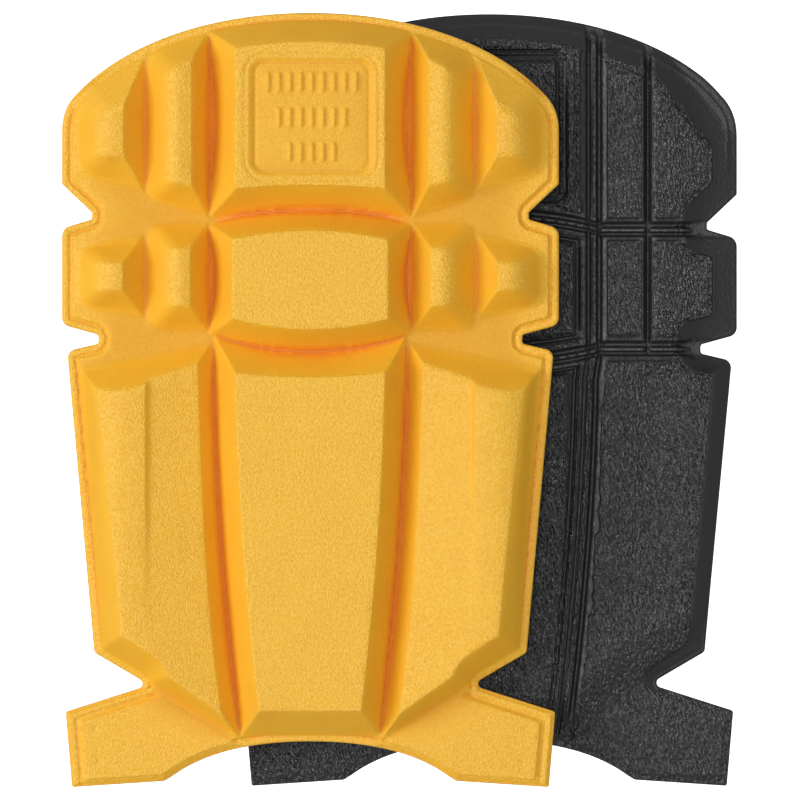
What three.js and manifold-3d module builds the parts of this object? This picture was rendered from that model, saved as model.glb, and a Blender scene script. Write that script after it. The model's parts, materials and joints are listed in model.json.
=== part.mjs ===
// A pair of moulded-foam knee pads for trouser knee pockets, lying flat one on the other.
// Each pad is two bonded foam layers: a soft cushion on the knee side, moulded into blocks, and a
// firmer shell on the outer side. Thin webs between the blocks are the lines along which it flexes.
// Lengths are millimetres. A pad's own frame has x across the leg, y up the leg and z towards the
// knee, with z = 0 on the bond between the layers and the origin at the middle of its outline.
import * as THREE from "three";
import { mergeVertices } from "three/addons/utils/BufferGeometryUtils.js";
import Module from "manifold-3d";

const wasm = await Module();
wasm.setup();

// Driving dimensions of one pad.
const HALF_WIDTH = 77;
const TOP_Y = 120;
const BLOCK_HEIGHT = 14; // cushion blocks, above the bond
const SHELL_DEPTH = 7; // shell plateau, below the bond
const FLANGE = 2; // each layer's thickness at the rim and in the webs
const BOND_GAP = 0.1; // each layer stops this far from the bond plane
const SIDE_BLOCK_INNER_HEIGHT = 11.5; // side blocks rise from here to their outer edges
const OUTER_CELL_HEIGHT = 13;

// The lines about which the pad flexes, and the clearance each side of them.
const UPPER_FLEX_Y = 57.1;
const LOWER_FLEX_Y = 17.6;
const TAB_NOTCH = [51.2, -88.1];
const CUSHION_CLEARANCE = 0.9;
const SHELL_CLEARANCE = 0.3;
const TAB_CUSHION_CLEARANCE = 0.8;

// How the two pads lie: centres this far apart, shell on shell.
const PAD_SPACING = 55.5;
const STACK_GAP = 0.3;

// The right pad's middle row, with its notches and webs, sits lower down the pad.
const RIGHT_ROW_DROP = 3;
const ROW_SPAN = [5, 70]; // the part of the pad that moves by the whole drop
const PLAIN_SPAN = [-60, 100]; // beyond this nothing moves

const CURVE_STEPS = 8;
const CORNER_STEPS = 3;

const cushionFoam = new THREE.MeshStandardMaterial({ color: 0xe8a525, roughness: 0.55, metalness: 0 });
const shellFoam = new THREE.MeshStandardMaterial({ color: 0x2a2a2c, roughness: 0.5, metalness: 0 });

// ---- Plane outlines: arrays of [x, y] ----

function curvePoints(curve, steps) {
  return curve.getPoints(steps).map((p) => [p.x, p.y]);
}

// A polyline whose corners are rounded; each corner is [x, y, cut], and cut is how far the rounding
// reaches back along both sides.
function rounded(corners) {
  const points = [];
  corners.forEach(([x, y, cut = 0], i) => {
    if (!cut || i === 0 || i === corners.length - 1) {
      points.push([x, y]);
      return;
    }
    const here = new THREE.Vector2(x, y);
    const back = new THREE.Vector2(...corners[i - 1].slice(0, 2)).sub(here).setLength(cut).add(here);
    const ahead = new THREE.Vector2(...corners[i + 1].slice(0, 2)).sub(here).setLength(cut).add(here);
    points.push(...curvePoints(new THREE.QuadraticBezierCurve(back, here, ahead), CORNER_STEPS));
  });
  return points;
}

function mirrored(points) {
  return points.map(([x, y]) => [-x, y]).reverse();
}

// A closed outline from its right half, listed from the lower middle outwards and up to the top.
function bothSides(rightHalf) {
  const left = mirrored(rightHalf).filter(([x]) => x < 0);
  return [...rightHalf, ...left];
}

// The rounded top edge, from the right side's corner up to the middle.
function topArc() {
  const corner = new THREE.QuadraticBezierCurve(
    new THREE.Vector2(HALF_WIDTH, 83.5),
    new THREE.Vector2(HALF_WIDTH, 90.8),
    new THREE.Vector2(72, 95.3),
  );
  const crown = new THREE.CubicBezierCurve(
    new THREE.Vector2(72, 95.3),
    new THREE.Vector2(58, 110),
    new THREE.Vector2(32, TOP_Y),
    new THREE.Vector2(0, TOP_Y),
  );
  return [...curvePoints(corner, CORNER_STEPS), ...curvePoints(crown, CURVE_STEPS).slice(1)];
}

// The hollow bottom edge between the tabs, as a curve from the middle to a tab's toe.
const heelCurve = new THREE.QuadraticBezierCurve(
  new THREE.Vector2(0, -105.8),
  new THREE.Vector2(26, -105.8),
  new THREE.Vector2(44.4, -117.6),
);
const HEEL_SHARE = 0.39; // how far along heelCurve the tab's fold line meets it

function heelPoints(from, to) {
  return Array.from({ length: CURVE_STEPS / 2 + 1 }, (_, i) => {
    const p = heelCurve.getPoint(from + ((to - from) * i) / (CURVE_STEPS / 2));
    return [p.x, p.y];
  });
}

function upperOutline(clearance) {
  const y = UPPER_FLEX_Y + clearance;
  return bothSides([
    [0, y],
    ...rounded([[68, y], [68, 58.4, 0.6], [HALF_WIDTH, 67, 0.8], [HALF_WIDTH, 83.4]]),
    ...topArc(),
  ]);
}

function middleOutline(clearance) {
  const low = LOWER_FLEX_Y + clearance;
  const high = UPPER_FLEX_Y - clearance;
  return bothSides([
    [0, low],
    ...rounded([
      [65.6, low],
      [65.6, 20, 0.6],
      [HALF_WIDTH, 23.2, 4],
      [HALF_WIDTH, 52.6, 4],
      [68, 55.8, 0.3],
      [68, high],
    ]),
    [0, high],
  ]);
}

function lowerOutline(clearance, tabClearance) {
  const y = LOWER_FLEX_Y - clearance;
  return bothSides([
    ...heelPoints(0, HEEL_SHARE - tabClearance / 40),
    ...rounded([
      [TAB_NOTCH[0] - 0.4 * tabClearance, TAB_NOTCH[1] + 0.9 * tabClearance],
      [66.4, -77.6, 1],
      [75.7, 14.8, 3],
      [65.6, 16.2, 0.3],
      [65.6, y],
    ]),
    [0, y],
  ]);
}

function tabOutline(clearance) {
  return [
    ...heelPoints(HEEL_SHARE + clearance / 40, 1),
    ...rounded([[44.4, -117.7], [73.5, -TOP_Y, 0.6], [75.4, -96.8, 1], [TAB_NOTCH[0], TAB_NOTCH[1] - clearance]]),
  ];
}

// ---- Solids ----

function solidOf(geometry) {
  const bare = geometry.index ? geometry.toNonIndexed() : geometry.clone();
  bare.deleteAttribute("normal");
  bare.deleteAttribute("uv");
  const merged = mergeVertices(bare, 1e-4);
  return new wasm.Manifold(
    new wasm.Mesh({
      numProp: 3,
      vertProperties: merged.attributes.position.array,
      triVerts: new Uint32Array(merged.index.array),
    }),
  );
}

function meshGeometry(solid) {
  const mesh = solid.getMesh();
  return new THREE.BufferGeometry()
    .setAttribute("position", new THREE.BufferAttribute(mesh.vertProperties, 3))
    .setIndex(new THREE.BufferAttribute(mesh.triVerts, 1));
}

function slab(outline, low, high) {
  const shape = new THREE.Shape(outline.map(([x, y]) => new THREE.Vector2(x, y)));
  const geometry = new THREE.ExtrudeGeometry(shape, { depth: high - low, bevelEnabled: false });
  return solidOf(geometry.translate(0, 0, low));
}

// A block with sloping sides: its foot outline at height low and its face outline, point for point,
// on the plane through faceHeight(x).
function block(foot, face, low, faceHeight) {
  const count = foot.length;
  const up = faceHeight(face[0][0]) > low;
  const positions = [
    ...foot.map(([x, y]) => [x, y, low]),
    ...face.map(([x, y]) => [x, y, faceHeight(x)]),
  ];
  const cap = (outline) =>
    THREE.ShapeUtils.triangulateShape(outline.map(([x, y]) => new THREE.Vector2(x, y)), []);
  const index = [];
  cap(foot).forEach(([a, b, c]) => index.push(a, c, b));
  cap(face).forEach(([a, b, c]) => index.push(a + count, b + count, c + count));
  for (let i = 0; i < count; i += 1) {
    const j = (i + 1) % count;
    index.push(i, j, j + count, i, j + count, i + count);
  }
  if (!up) index.reverse();
  const geometry = new THREE.BufferGeometry()
    .setAttribute("position", new THREE.Float32BufferAttribute(positions.flat(), 3))
    .setIndex(index);
  return solidOf(geometry);
}

function unite(solids) {
  return solids.reduce((whole, solid) => whole.add(solid));
}

// A block of the middle column, its outlines given by their right halves.
function centreBlock(footHalf, faceHalf, low, height) {
  return block(bothSides(footHalf), bothSides(faceHalf), low, () => height);
}

// The pair of side blocks that mirror each other; the face rises from innerHeight at its inner edge
// to outerHeight at its outer edge.
function sideBlocks(foot, face, low, innerHeight, outerHeight) {
  const xs = face.map(([x]) => x);
  const inner = Math.min(...xs);
  const slope = (outerHeight - innerHeight) / (Math.max(...xs) - inner);
  const height = (x) => innerHeight + slope * (Math.abs(x) - inner);
  return [block(foot, face, low, height), block(mirrored(foot), mirrored(face), low, height)];
}

// A bowed edge of a centre block: from the middle of the edge to its right end.
function bowedEdge(middleY, halfWidth, endY) {
  const curve = new THREE.QuadraticBezierCurve(
    new THREE.Vector2(0, middleY),
    new THREE.Vector2(halfWidth / 2, middleY),
    new THREE.Vector2(halfWidth, endY),
  );
  return curvePoints(curve, CORNER_STEPS);
}

// ---- The cushion, one section at a time ----

const CUSHION_FOOT = FLANGE - 1; // blocks start inside the flange

function cushionUpper() {
  const foot = [...bowedEdge(59.4, 30.4, 58.1), ...bowedEdge(117.4, 30.4, 113.9).reverse()];
  const face = [...bowedEdge(66.6, 23.7, 65.3), ...bowedEdge(110.5, 23.3, 108.3).reverse()];
  const inner = sideBlocks(
    [[31.4, 58.1], [47.5, 61.7], [50.6, 65.2], [50.6, 106.4], [31.4, 113.7]],
    [[35.8, 66.4], [43.5, 68.4], [44.5, 69.4], [44.5, 103.1], [35.8, 105.2]],
    CUSHION_FOOT,
    SIDE_BLOCK_INNER_HEIGHT,
    BLOCK_HEIGHT,
  );
  const outer = sideBlocks(
    [[53.4, 67.6], [56.5, 66.4], [73.4, 71.8], [73.4, 89.4], [63.6, 98.4], [53.4, 102.9]],
    [[58, 74], [60, 73.4], [66.5, 76.6], [66.5, 86.9], [62, 90.2], [58, 92.5]],
    CUSHION_FOOT,
    SIDE_BLOCK_INNER_HEIGHT,
    OUTER_CELL_HEIGHT,
  );
  const base = slab(upperOutline(CUSHION_CLEARANCE), BOND_GAP, FLANGE);
  return unite([base, centreBlock(foot, face, CUSHION_FOOT, BLOCK_HEIGHT), ...inner, ...outer]);
}

function cushionMiddle() {
  const foot = [...bowedEdge(18.6, 30.4, 19.6), ...bowedEdge(56.1, 30.4, 55.2).reverse()];
  const face = [...bowedEdge(21.8, 24.4, 24.9), ...bowedEdge(52.6, 24.4, 49.6).reverse()];
  const inner = sideBlocks(
    [[31.2, 22.3], [46.5, 22.5], [51.5, 25.8], [51.5, 50.3], [46.5, 53], [31.2, 54]],
    [[36.9, 29.8], [43.5, 30.2], [44.5, 30.9], [44.5, 45.6], [43.5, 46.2], [36.9, 46.9]],
    CUSHION_FOOT,
    SIDE_BLOCK_INNER_HEIGHT,
    BLOCK_HEIGHT,
  );
  const outer = sideBlocks(
    [[53.7, 29.5], [57.5, 26.8], [65, 27.7], [73.2, 30.7], [73.2, 47.5], [65, 50.8], [57.5, 51], [53.7, 48.4]],
    [[58.2, 35], [59, 34.4], [65, 34.4], [66.1, 35], [66.1, 42.2], [65, 42.8], [59, 42.8], [58.2, 42.2]],
    CUSHION_FOOT,
    SIDE_BLOCK_INNER_HEIGHT,
    OUTER_CELL_HEIGHT,
  );
  const base = slab(middleOutline(CUSHION_CLEARANCE), BOND_GAP, FLANGE);
  return unite([base, centreBlock(foot, face, CUSHION_FOOT, BLOCK_HEIGHT), ...inner, ...outer]);
}

function cushionLower() {
  const foot = [[0, -102.6], [22, -103.6], [26.2, -55.9], ...bowedEdge(14.2, 30.3, 16).reverse()];
  const face = [[0, -96], [16.4, -96.2], [19.9, -55.9], ...bowedEdge(7.3, 23.1, 8.4).reverse()];
  const side = sideBlocks(
    [[23.5, -103.3], [46.4, -89.4], [62.7, -75.8], [71.9, 11.2], [31.4, 15.6], [27.3, -55.9]],
    [[29.8, -96.2], [45.3, -86.4], [57.6, -72.8], [64.9, 4.3], [36.8, 9.5], [33.3, -55.9]],
    CUSHION_FOOT,
    SIDE_BLOCK_INNER_HEIGHT,
    BLOCK_HEIGHT,
  );
  const base = slab(lowerOutline(CUSHION_CLEARANCE, TAB_CUSHION_CLEARANCE), BOND_GAP, FLANGE);
  return unite([base, centreBlock(foot, face, CUSHION_FOOT, BLOCK_HEIGHT), ...side]);
}

// A tab carries a slightly raised panel inside its rim.
const TAB_PANEL_RISE = 0.8;

// side is given an outline drawn for the right and returns it for the tab's own side.
function cushionTab(side) {
  const panel = block(
    side([[43.9, -114.6], [70.3, -116.3], [71.4, -100.6], [46.9, -93.4], [27, -105.4]]),
    side([[44.6, -113.6], [69.4, -115.2], [70.3, -101.4], [47.4, -94.5], [28.6, -105.6]]),
    CUSHION_FOOT,
    () => FLANGE + TAB_PANEL_RISE,
  );
  return unite([slab(side(tabOutline(TAB_CUSHION_CLEARANCE)), BOND_GAP, FLANGE), panel]);
}

// ---- The shell, one section at a time: flat cells with shallow grooves between them ----

const SHELL_FOOT = -FLANGE + 1;

function shellUpper() {
  const foot = [[0, 57.6], [32.2, 57.6], [32.2, 112.4], [0, 117.2]];
  const face = [[0, 59.1], [31, 59.1], [31, 108.6], [0, 112.3]];
  const inner = sideBlocks(
    [[34.6, 57.6], [48.7, 57.6], [48.7, 107.4], [34.6, 111.8]],
    [[35.8, 59.1], [47.7, 59.1], [47.7, 102.6], [35.8, 107]],
    SHELL_FOOT,
    -SHELL_DEPTH,
    -SHELL_DEPTH,
  );
  const outer = sideBlocks(
    [[51.1, 57.6], [64, 57.6], [75.2, 69], [75.2, 86], [67, 97.4], [51.1, 106.2]],
    [[52.2, 59.1], [60.5, 59.1], [68.4, 67], [68.4, 81], [62.4, 89.4], [52.2, 100]],
    SHELL_FOOT,
    -SHELL_DEPTH,
    -SHELL_DEPTH,
  );
  const base = slab(upperOutline(SHELL_CLEARANCE), -FLANGE, -BOND_GAP);
  return unite([base, centreBlock(foot, face, SHELL_FOOT, -SHELL_DEPTH), ...inner, ...outer]);
}

function shellMiddle() {
  const foot = [[0, 18.1], [32.2, 18.1], [32.2, 56.6], [0, 56.6]];
  const face = [[0, 19.6], [31, 19.6], [31, 55.1], [0, 55.1]];
  const inner = sideBlocks(
    [[34.6, 18.1], [48.7, 18.1], [48.7, 56.6], [34.6, 56.6]],
    [[35.8, 19.6], [47.7, 19.6], [47.7, 55.1], [35.8, 55.1]],
    SHELL_FOOT,
    -SHELL_DEPTH,
    -SHELL_DEPTH,
  );
  const outer = sideBlocks(
    [[51.1, 18.1], [63, 18.1], [75.2, 26], [75.2, 50], [65, 56.6], [51.1, 56.6]],
    [[52.2, 19.6], [61, 19.6], [68.4, 26], [68.4, 50], [62, 55.1], [52.2, 55.1]],
    SHELL_FOOT,
    -SHELL_DEPTH,
    -SHELL_DEPTH,
  );
  const base = slab(middleOutline(SHELL_CLEARANCE), -FLANGE, -BOND_GAP);
  return unite([base, centreBlock(foot, face, SHELL_FOOT, -SHELL_DEPTH), ...inner, ...outer]);
}

function shellLower() {
  const foot = [[0, -104], [23.4, -104.8], [28.4, -60], [31.8, 17.1], [0, 17.1]];
  const face = [[0, -101.5], [22.5, -101.8], [27.2, -60], [30.6, 15.6], [0, 15.6]];
  const side = sideBlocks(
    [[25.8, -103], [49.6, -88], [64.2, -77], [73.6, 13], [62, 17.1], [34.2, 17.1], [30.8, -60]],
    [[27.6, -98.4], [47.4, -86], [59.6, -74.6], [68.2, 11], [61, 15.6], [35.4, 15.6], [32, -60]],
    SHELL_FOOT,
    -SHELL_DEPTH,
    -SHELL_DEPTH,
  );
  const base = slab(lowerOutline(SHELL_CLEARANCE, SHELL_CLEARANCE), -FLANGE, -BOND_GAP);
  return unite([base, centreBlock(foot, face, SHELL_FOOT, -SHELL_DEPTH), ...side]);
}

function shellTab(side) {
  return slab(side(tabOutline(SHELL_CLEARANCE)), -FLANGE, -BOND_GAP);
}

// ---- The pair ----

const asDrawn = (outline) => outline;

const sections = [
  ["upper", cushionUpper(), shellUpper()],
  ["middle", cushionMiddle(), shellMiddle()],
  ["lower", cushionLower(), shellLower()],
  ["inner_tab", cushionTab(asDrawn), shellTab(asDrawn)],
  ["outer_tab", cushionTab(mirrored), shellTab(mirrored)],
];

// Moves a pad's middle row down the pad; the rows above and below it stretch and shrink to follow.
function dropRow(geometry, drop) {
  const rise = (y) => THREE.MathUtils.clamp((y - PLAIN_SPAN[0]) / (ROW_SPAN[0] - PLAIN_SPAN[0]), 0, 1);
  const fall = (y) => THREE.MathUtils.clamp((PLAIN_SPAN[1] - y) / (PLAIN_SPAN[1] - ROW_SPAN[1]), 0, 1);
  const position = geometry.attributes.position;
  for (let i = 0; i < position.count; i += 1) {
    const y = position.getY(i);
    position.setY(i, y - drop * Math.min(rise(y), fall(y)));
  }
  return geometry;
}

function layerMesh(name, solid, rowDrop, material) {
  const mesh = new THREE.Mesh(dropRow(meshGeometry(solid), rowDrop), material);
  mesh.name = name;
  return mesh;
}

function pad(name, rowDrop) {
  const group = new THREE.Group();
  for (const [section, cushion, shell] of sections) {
    group.add(layerMesh(`${name}_${section}_cushion`, cushion, rowDrop, cushionFoam));
    group.add(layerMesh(`${name}_${section}_shell`, shell, rowDrop, shellFoam));
  }
  return group;
}

const rightPad = pad("right_pad", RIGHT_ROW_DROP); // face down, shell up
rightPad.rotation.y = Math.PI;
rightPad.position.set(PAD_SPACING / 2, 0, BLOCK_HEIGHT);

const leftPad = pad("left_pad", 0); // lies on the right pad, cushion up
leftPad.position.set(-PAD_SPACING / 2, 0, BLOCK_HEIGHT + 2 * SHELL_DEPTH + STACK_GAP);

const kneePads = new THREE.Group();
kneePads.add(rightPad, leftPad);

export default kneePads;
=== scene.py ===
"""A pair of moulded-foam knee pads for trouser knee pockets, lying one on the other.

Each pad is two bonded layers of foam: a cushion on the knee side and a shell on the outer side. The
outer surface of a layer is a height over the pad's plane, given by formulas, and carried by a mesh
that is fine where the surface bends. A layer is cut at its flex lines into pieces; the middle pieces
ride on the bodies of the frame, and the others are left in place.

A pad's own frame is in millimetres: x across the leg, y up the leg, z towards the knee, with z = 0 on
the bond between the layers and the origin at the middle of the outline. Formulas take x as the
distance from the pad's middle line, because both layers are symmetric, all but the knee side's
moulded frame.
"""

import json
import math

import bpy
import numpy as np
from mathutils import Matrix, Vector
from mathutils.geometry import delaunay_2d_cdt

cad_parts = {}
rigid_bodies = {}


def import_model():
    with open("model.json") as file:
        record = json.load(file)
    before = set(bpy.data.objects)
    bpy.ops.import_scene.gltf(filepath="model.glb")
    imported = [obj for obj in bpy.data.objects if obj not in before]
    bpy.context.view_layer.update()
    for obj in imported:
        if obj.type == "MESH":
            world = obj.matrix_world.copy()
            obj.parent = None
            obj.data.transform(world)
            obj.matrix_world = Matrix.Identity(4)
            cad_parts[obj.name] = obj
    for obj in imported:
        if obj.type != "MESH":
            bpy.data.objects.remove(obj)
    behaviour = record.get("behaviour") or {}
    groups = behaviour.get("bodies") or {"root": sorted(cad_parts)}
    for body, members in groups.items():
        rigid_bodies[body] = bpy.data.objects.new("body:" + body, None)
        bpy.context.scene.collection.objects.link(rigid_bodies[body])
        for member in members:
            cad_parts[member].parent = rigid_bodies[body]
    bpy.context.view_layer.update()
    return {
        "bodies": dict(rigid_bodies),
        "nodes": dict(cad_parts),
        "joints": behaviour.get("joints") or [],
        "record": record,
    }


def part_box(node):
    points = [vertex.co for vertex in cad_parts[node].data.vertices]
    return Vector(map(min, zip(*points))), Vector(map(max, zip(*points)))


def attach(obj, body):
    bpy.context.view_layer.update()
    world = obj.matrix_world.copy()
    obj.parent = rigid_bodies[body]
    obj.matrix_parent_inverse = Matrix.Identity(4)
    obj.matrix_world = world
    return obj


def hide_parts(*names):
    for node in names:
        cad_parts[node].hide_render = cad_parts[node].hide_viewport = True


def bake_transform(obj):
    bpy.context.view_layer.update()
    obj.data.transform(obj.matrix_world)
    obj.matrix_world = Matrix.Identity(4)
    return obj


MM = 0.001

# ---- One pad, in its own frame ----

FLANGE = 2.0  # each layer's thickness at the rim
BOND_GAP = 0.05  # each layer stops this far from the bond plane
RIM_ROUNDING = 0.8
HALF_WIDTH = 77.0
HALF_LENGTH = 120.0
TABS_TOP = -80.0  # the tabs and their fold lines lie below this height up the pad

# Cushion
BLOCK = 14.0  # height of the blocks above the bond
FLOOR = 2.6  # height between the blocks
EDGE = 0.9  # rounding of the blocks' upper edges
SOFT_EDGE = 1.9  # rounding of the ridges along the side cells
OUTWARD_EDGE = 7.0  # rounding of the small blocks' edges towards the pad's sides
FILLET = 0.8  # rounding where the centre blocks meet the floor
SOFT_FILLET = 2.2  # rounding where the other blocks do
FRAME = ((0.5, 87.5), (20.6, 19.4), 6.0)  # middle, half size and corner of the moulded frame
RIB_ROWS = ((98.3, 9), (87.4, 7), (76.6, 5))  # each row's height up the pad, and its number of ribs
RIB_PITCH, RIB_WIDTH, RIB_LENGTH = 3.4, 1.6, 6.2

# Shell
PLATEAU = 6.9
LENGTHWAYS_X = 34.1  # middle of the main lengthways groove
OUTER_GROOVE_X = 49.3
UPPER_RIDGE_Y = 55.7  # the thin ridges that run along the crossways grooves
LOWER_RIDGE_Y = 18.7
RIDGE_BOW = 4.3  # how far those ridges bow away from the middle row's centre
BOW_HALF_WIDTH = 35.0

# The lines along which a layer is cut into pieces.
UPPER_CUT = 55.2
LOWER_CUT = 19.5
TAB_NOTCH = np.array([51.2, -88.1])
TAB_HEEL = np.array([19.0, -107.7])

# A pad's middle row may sit lower down, and the rows beside it stretch to follow.
ROW_SPAN = (5.0, 70.0)
PLAIN_SPAN = (-60.0, 100.0)
DRAWN_KNEE_FLEX = 17.6  # where this script's pad has its lower flex line

# ---- Colours, light and camera ----

YELLOW = (0.88, 0.45, 0.012)
AMBER = (0.86, 0.42, 0.011)
# Painted shade: the deeper orange of light bounced about inside grooves and hollows.
SHADE_ORANGE = (0.82, 0.26, 0.012)
# Painted shade: a darker amber for level floors sunk below the blocks around them.
SUNK_SHADE_AMBER = (0.6, 0.27, 0.01)
# Painted shade: a dark red for the bottoms of the sharpest creases.
CREASE_SHADE_RED = (0.5, 0.1, 0.01)
# Pale specks of the grain, whose colour also stands in for painted sheen from the light overhead.
PALE_GRAIN_AND_SHEEN = (0.98, 0.61, 0.085)
BLACK = (0.009, 0.009, 0.01)
# Painted highlight: the grey put on the pebbles' tops.
PEBBLE_HIGHLIGHT_GREY = (0.035, 0.035, 0.037)
# Painted highlight: the grey put along the thin ridges.
RIDGE_HIGHLIGHT_GREY = (0.11, 0.11, 0.112)
WORLD_LIGHT = 0.45
KEY_LIGHT = 0.47
TOP_LIGHT = 0.32
VIEW_WIDTH = 0.2483  # width of the camera's view at the pads' rims, in metres

FLOOR_LEVEL = -0.13  # low enough that pads bent at their grooves stay above it
KEY_PLACE, KEY_SIZE = (-1.65, 0.1, 1.2), 1.1
TOP_PLACE, TOP_SIZE = (-0.35, 0.0, 5.0), 1.3
LENS, SENSOR_WIDTH = 600, 36
PAD_RIMS = 0.023  # mean height of the two pads' rims, in metres

# ---- Mesh ----

OUTLINE_STEP = 0.9
ARC_STEP = 0.35
CUT_STEP = 0.1
GRID = 0.5
BEND_FOR_HALF_GRID = 0.012
BEND_FOR_FULL_GRID = 0.05
RIM_ROWS = (0.1, 0.3, 0.6, 1.0, 1.5, 2.0, 2.35, 2.7, 3.1, 3.6)
# Where the shell's relief bends, as offsets from the ridges and from the main lengthways groove.
CROSSWAYS_BENDS = (-2.4, -1.25, 0.0, 1.6, 3.1)
UPPER_BENDS = (-6.1, -5.1, -4.1, *CROSSWAYS_BENDS)
LOWER_BENDS = (-4.7, -3.8, -2.9, *CROSSWAYS_BENDS[1:], 4.7, 5.7, 6.7)
LENGTHWAYS_BENDS = (-7.6, -6.7, -5.8, -4.4, -3.5, -2.6, -1.35, 0.0, 1.4)
SHELL_EDGE_ROWS = (5.3, 5.6, 5.9, 6.7, 7.0, 7.3, 7.7, 8.0, 8.3, 9.1, 9.4, 9.7)
BOND_GRID = 6.0
RIM_REACH = 14.0  # the furthest that a distance from the rim is measured
# How far around a point counts towards how deep it lies, and the depth that counts as 1.
HOLLOW = (8.0, 6.0)
SUNK = (13.0, 4.0)
CREASE = (1.2, 0.6)
RIDGE = (1.2, -0.8)  # a ridge stands above what is around it


def unit(vector):
    return np.asarray(vector, float) / np.linalg.norm(vector)


# ---- Outline ----


def bezier(points, steps):
    """Points on a Bezier curve of any degree, ends included."""
    points = np.asarray(points, float)
    degree = len(points) - 1
    t = np.linspace(0, 1, steps + 1)[:, None]
    return sum(
        math.comb(degree, i) * t**i * (1 - t) ** (degree - i) * points[i] for i in range(degree + 1)
    )


def fillet(before, corner, after, radius):
    """The arc that rounds a corner."""
    before, corner, after = (np.asarray(p, float) for p in (before, corner, after))
    back, ahead = unit(before - corner), unit(after - corner)
    half = math.acos(np.clip(back @ ahead, -1, 1)) / 2
    centre = corner + unit(back + ahead) * radius / math.sin(half)
    start = corner + back * radius / math.tan(half) - centre
    end = corner + ahead * radius / math.tan(half) - centre
    sweep = math.atan2(start[0] * end[1] - start[1] * end[0], start @ end)
    steps = max(3, int(abs(sweep) * radius / ARC_STEP))
    angles = math.atan2(start[1], start[0]) + np.linspace(0, sweep, steps + 1)
    return centre + radius * np.stack([np.cos(angles), np.sin(angles)], axis=1)


def rounded(corners):
    """A polyline with rounded corners, each given as (x, y, radius)."""
    points = [np.array([corners[0][:2]])]
    for before, (x, y, radius), after in zip(corners, corners[1:], corners[2:]):
        points.append(fillet(before[:2], (x, y), after[:2], radius))
    points.append(np.array([corners[-1][:2]]))
    return np.concatenate(points)


def spaced(points, step):
    """The same polyline with no side longer than step."""
    out = []
    for a, b in zip(points, points[1:]):
        count = max(1, math.ceil(np.linalg.norm(b - a) / step))
        out.extend(a + (b - a) * i / count for i in range(count))
    return np.array(out + [points[-1]])


HEEL_ARCH = [(0, -105.8), (28, -105.8), (42.8, -116.6)]
RIGHT_SIDE = [
    (42.8, -116.6, 0),
    (45.2, -118.1, 2),
    (73.9, -120.0, 0.7),
    (75.9, -96.6, 0.9),
    (49.9, -88.3, 1.5),
    (67.0, -78.3, 1.8),
    (75.4, 15.2, 2.8),
    (65.7, 17.5, 0.9),
    (65.7, 20.2, 0.9),
    (77.0, 23.3, 3.0),
    (77.0, 53.2, 3.4),
    (67.7, 56.0, 0.8),
    (67.7, 58.1, 0.8),
    (77.0, 66.9, 0.8),
    (77.0, 83.5, 0),
]
SHOULDER = [(77.0, 83.5), (77.0, 90.8), (72.0, 95.3)]
CROWN = [(72.0, 95.3), (58.0, 110.0), (32.0, 120.0), (0.0, 120.0)]


def pad_outline():
    """The closed outline, anticlockwise from the middle of the heel."""
    heel, side, shoulder = bezier(HEEL_ARCH, 30), rounded(RIGHT_SIDE), bezier(SHOULDER, 8)
    half = np.concatenate([heel[:-1], side[:-1], shoulder[:-1], bezier(CROWN, 60)])
    half = spaced(half, OUTLINE_STEP)
    left = half[1:-1][::-1] * [-1, 1]
    return np.concatenate([half, left])


def distance_to(points, line, closed=True):
    """Each point's distance to a polyline."""
    starts = line if closed else line[:-1]
    sides = (np.roll(line, -1, axis=0) if closed else line[1:]) - starts
    lengths = np.maximum((sides**2).sum(axis=1), 1e-12)
    nearest = np.full(len(points), np.inf)
    for start, side, length in zip(starts, sides, lengths):
        offset = points - start
        along = np.clip(offset @ side / length, 0, 1)
        gap = offset - along[:, None] * side
        nearest = np.minimum(nearest, (gap**2).sum(axis=1))
    return np.sqrt(nearest)


def distance_field(xs, ys, line, reach):
    """Distance to a closed polyline at each place of a grid, up to reach."""
    squared = np.full((len(ys), len(xs)), float(reach**2))
    for start, end in zip(line, np.roll(line, -1, axis=0)):
        low, high = np.minimum(start, end) - reach, np.maximum(start, end) + reach
        columns = slice(*np.searchsorted(xs, (low[0], high[0])))
        rows = slice(*np.searchsorted(ys, (low[1], high[1])))
        side = end - start
        dx, dy = xs[None, columns] - start[0], ys[rows, None] - start[1]
        along = np.clip((dx * side[0] + dy * side[1]) / (side @ side), 0, 1)
        gap = (dx - along * side[0]) ** 2 + (dy - along * side[1]) ** 2
        squared[rows, columns] = np.minimum(squared[rows, columns], gap)
    return np.sqrt(squared)


# ---- Heights ----


def smooth_max(a, b, radius):
    """The larger of two heights, with the crease between them filled over radius."""
    near = np.clip(radius - np.abs(a - b), 0, None) / radius
    return np.maximum(a, b) + near * near * radius / 4


def smooth_min(a, b, radius):
    return -smooth_max(-a, -b, radius)


def step(low, high, value):
    """Rises smoothly from 0 at low to 1 at high."""
    t = np.clip((value - low) / (high - low), 0, 1)
    return t * t * (3 - 2 * t)


def wall(outside, height, run, floor=FLOOR):
    """A wall that is at height on its upper edge and reaches the floor run millimetres outside it."""
    return height - (height - floor) * outside / run


def block(top, walls, edge=EDGE):
    """A top cut down by its walls, with rounded edges."""
    for side in walls:
        top = smooth_min(top, side, edge)
    return top


def dent(distance, width, depth):
    """A rounded dent or groove about distance 0."""
    return depth * np.exp(-((distance / width) ** 2))


def corner_distance(past_side, past_end, radius):
    """Signed distance to a rounded corner between two edges, from the distances past each edge."""
    a, b = past_side + radius, past_end + radius
    return np.hypot(np.maximum(a, 0), np.maximum(b, 0)) + np.minimum(np.maximum(a, b), 0) - radius


def box_distance(x, y, centre, half_size, corner):
    """Signed distance to a rectangle with rounded corners."""
    return corner_distance(
        np.abs(x - centre[0]) - half_size[0], np.abs(y - centre[1]) - half_size[1], corner
    )


def trench(value, low, high, ramp):
    """1 between low and high, falling to 0 over ramp on both sides."""
    return step(low - ramp, low, value) * (1 - step(high, high + ramp, value))


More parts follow.
